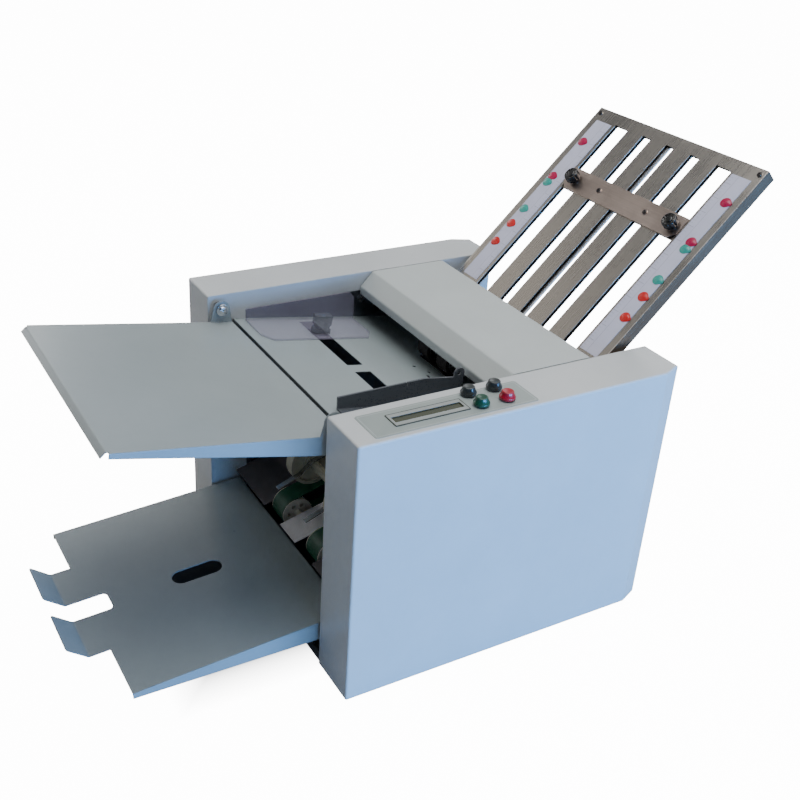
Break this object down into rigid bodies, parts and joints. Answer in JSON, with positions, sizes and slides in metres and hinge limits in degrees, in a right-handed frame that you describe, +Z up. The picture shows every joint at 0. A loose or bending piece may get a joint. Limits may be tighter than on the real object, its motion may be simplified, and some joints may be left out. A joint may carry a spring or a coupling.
{
  "type": "paper folding machine",
  "caption": "Desk-top friction-feed paper folder: sloping feed tray and table, hinged hood, four fold rollers, slotted upper fold plate with clamped stop, belt delivery and catch tray.",
  "frame": {"origin": "on the desk, below the middle of the whole machine's length and width", "axes": "+X towards the side with the control panel, +Y from the feed tray towards the fold plate, +Z up"},
  "size_m": [0.51, 0.9449, 0.5846],
  "materials": {
    "cover_paint": "fine satin texture",
    "tray_paint": "satin",
    "steel_plate": "satin",
    "zinc_plate": "plated",
    "shaft_steel": "ground",
    "rubber_dark": "matt",
    "rubber_roller": "matt",
    "belt_green": "matt",
    "cream_plastic": "satin",
    "overlay_plastic": "satin",
    "black_plastic": "satin",
    "gear_plastic": "satin",
    "bezel_plastic": "matt",
    "window_plastic": "gloss",
    "board_resin": "satin",
    "smoked_acrylic": "gloss",
    "slate_plastic": "satin",
    "frosted_plastic": "frosted",
    "button_black": "gloss",
    "button_green": "gloss",
    "button_red": "gloss",
    "scale_film": "satin",
    "motor_paint": "satin",
    "spring_steel": "polished"
  },
  "bodies": {
    "housing": {"base_plate": "zinc_plate", "rubber_feet": "rubber_dark", "left_frame_plate": "zinc_plate", "right_frame_plate": "zinc_plate", "tie_bars": "shaft_steel", "left_side_cover": "cover_paint", "right_side_cover": "cover_paint", "control_overlay": "overlay_plastic", "display_bezel": "bezel_plastic", "display_window": "window_plastic", "circuit_board": "board_resin", "tray_pivot_screws": "shaft_steel", "feed_table": "tray_paint", "hood_hinge_pins": "shaft_steel", "separator_pad": "rubber_dark", "separator_holder": "black_plastic", "shaft_bushes": "black_plastic", "drive_motor": "motor_paint", "drive_belts": "rubber_dark", "fold_plate_front": "steel_plate", "fold_plate_back": "steel_plate", "fold_scale_strips": "scale_film", "fold_plate_hooks": "zinc_plate", "lower_fold_plate": "steel_plate", "delivery_belts": "belt_green", "delivery_guides": "zinc_plate", "spring_fingers": "spring_steel", "delivery_tray": "tray_paint", "power_inlet": "black_plastic"},
    "main_roller_body": {"main_fold_roller": "rubber_roller", "main_gear_pulley": "gear_plastic"},
    "top_roller_body": {"top_fold_roller": "rubber_roller", "top_roller_gear": "gear_plastic"},
    "rear_roller_body": {"rear_fold_roller": "rubber_roller", "rear_roller_gear": "gear_plastic"},
    "low_roller_body": {"low_fold_roller": "rubber_roller", "low_roller_gear": "gear_plastic"},
    "feed_roller_body": {"feed_shaft": "shaft_steel", "feed_tyres": "rubber_dark"},
    "motor_pulley_body": {"motor_pulley": "shaft_steel"},
    "delivery_rear_body": {"delivery_rear_shaft": "cream_plastic"},
    "delivery_front_body": {"delivery_front_shaft": "cream_plastic"},
    "press_wheel_body": {"press_wheels": "cream_plastic"},
    "feed_tray_body": {"feed_tray": "tray_paint"},
    "hood_body": {"hood": "cover_paint"},
    "left_guide_body": {"left_paper_guide": "smoked_acrylic", "left_guide_clip": "frosted_plastic"},
    "right_guide_body": {"right_paper_guide": "slate_plastic", "right_guide_clip": "frosted_plastic"},
    "fold_stop_body": {"fold_stop_bar": "steel_plate", "fold_stop_blade": "steel_plate"},
    "left_knob_body": {"left_stop_knob": "black_plastic"},
    "right_knob_body": {"right_stop_knob": "black_plastic"},
    "lower_stop_body": {"lower_stop": "steel_plate", "lower_stop_knobs": "black_plastic"},
    "black_button_front_body": {"black_button_front": "button_black"},
    "black_button_rear_body": {"black_button_rear": "button_black"},
    "green_button_body": {"green_button": "button_green"},
    "red_button_body": {"red_button": "button_red"},
    "rocker_body": {"power_rocker": "black_plastic"}
  },
  "joints": [
    {"name": "main_roller_spin", "type": "hinge", "parent": "housing", "child": "main_roller_body", "pos_m": [0, 0.1339, 0.26861], "axis": [1, 0, 0], "continuous": true},
    {"name": "top_roller_spin", "type": "hinge", "parent": "housing", "child": "top_roller_body", "pos_m": [0, 0.1393, 0.30249], "axis": [1, 0, 0], "continuous": true},
    {"name": "rear_roller_spin", "type": "hinge", "parent": "housing", "child": "rear_roller_body", "pos_m": [0, 0.16807, 0.26562], "axis": [1, 0, 0], "continuous": true},
    {"name": "low_roller_spin", "type": "hinge", "parent": "housing", "child": "low_roller_body", "pos_m": [0, 0.14278, 0.23548], "axis": [1, 0, 0], "continuous": true},
    {"name": "feed_shaft_spin", "type": "hinge", "parent": "housing", "child": "feed_roller_body", "pos_m": [0, 0.09184, 0.31354], "axis": [1, 0, 0], "continuous": true},
    {"name": "motor_spin", "type": "hinge", "parent": "housing", "child": "motor_pulley_body", "pos_m": [0, -0.0614, 0.068], "axis": [1, 0, 0], "continuous": true},
    {"name": "delivery_rear_spin", "type": "hinge", "parent": "housing", "child": "delivery_rear_body", "pos_m": [0, 0.0886, 0.143], "axis": [1, 0, 0], "continuous": true},
    {"name": "delivery_front_spin", "type": "hinge", "parent": "housing", "child": "delivery_front_body", "pos_m": [0, -0.1089, 0.082], "axis": [1, 0, 0], "continuous": true},
    {"name": "press_wheel_spin", "type": "hinge", "parent": "housing", "child": "press_wheel_body", "pos_m": [0, -0.07996, 0.15096], "axis": [1, 0, 0], "continuous": true},
    {"name": "feed_tray_hinge", "type": "hinge", "parent": "housing", "child": "feed_tray_body", "pos_m": [0, -0.1664, 0.353], "axis": [-1, 0, 0], "range_deg": [0, 80]},
    {"name": "hood_hinge", "type": "hinge", "parent": "housing", "child": "hood_body", "pos_m": [0, 0.1896, 0.358], "axis": [-1, 0, 0], "range_deg": [0, 85]},
    {"name": "left_guide_slide", "type": "slide", "parent": "housing", "child": "left_guide_body", "axis": [1, 0, 0], "range_m": [-0.006, 0.06]},
    {"name": "right_guide_slide", "type": "slide", "parent": "housing", "child": "right_guide_body", "axis": [-1, 0, 0], "range_m": [0, 0.06]},
    {"name": "fold_stop_slide", "type": "slide", "parent": "housing", "child": "fold_stop_body", "axis": [0, 0.7145, 0.6997], "range_m": [-0.15, 0.08]},
    {"name": "left_knob_turn", "type": "hinge", "parent": "fold_stop_body", "child": "left_knob_body", "pos_m": [-0.105, 0.37195, 0.49853], "axis": [0, -0.6997, 0.7145], "range_deg": [-180, 180]},
    {"name": "right_knob_turn", "type": "hinge", "parent": "fold_stop_body", "child": "right_knob_body", "pos_m": [0.107, 0.37195, 0.49853], "axis": [0, -0.6997, 0.7145], "range_deg": [-180, 180]},
    {"name": "lower_stop_slide", "type": "slide", "parent": "housing", "child": "lower_stop_body", "axis": [0, 0.682, -0.7314], "range_m": [-0.035, 0.025]},
    {"name": "black_button_front_press", "type": "slide", "parent": "housing", "child": "black_button_front_body", "axis": [0, 0, -1], "range_m": [0, 0.0015], "stiffness_N_per_m": 500},
    {"name": "black_button_rear_press", "type": "slide", "parent": "housing", "child": "black_button_rear_body", "axis": [0, 0, -1], "range_m": [0, 0.0015], "stiffness_N_per_m": 500},
    {"name": "green_button_press", "type": "slide", "parent": "housing", "child": "green_button_body", "axis": [0, 0, -1], "range_m": [0, 0.0015], "stiffness_N_per_m": 500},
    {"name": "red_button_press", "type": "slide", "parent": "housing", "child": "red_button_body", "axis": [0, 0, -1], "range_m": [0, 0.0015], "stiffness_N_per_m": 500},
    {"name": "power_rocker_tilt", "type": "hinge", "parent": "housing", "child": "rocker_body", "pos_m": [-0.098, 0.2826, 0.062], "axis": [1, 0, 0], "range_deg": [0, 14]}
  ],
  "couplings": [
    {"joint": "top_roller_spin", "follows": "main_roller_spin", "ratio": -1},
    {"joint": "rear_roller_spin", "follows": "main_roller_spin", "ratio": -1},
    {"joint": "low_roller_spin", "follows": "main_roller_spin", "ratio": -1},
    {"joint": "feed_shaft_spin", "follows": "main_roller_spin", "ratio": -0.73333},
    {"joint": "motor_spin", "follows": "main_roller_spin", "ratio": 1.6667},
    {"joint": "delivery_rear_spin", "follows": "main_roller_spin", "ratio": -1},
    {"joint": "delivery_front_spin", "follows": "main_roller_spin", "ratio": -1},
    {"joint": "press_wheel_spin", "follows": "main_roller_spin", "ratio": 0.66177}
  ]
}
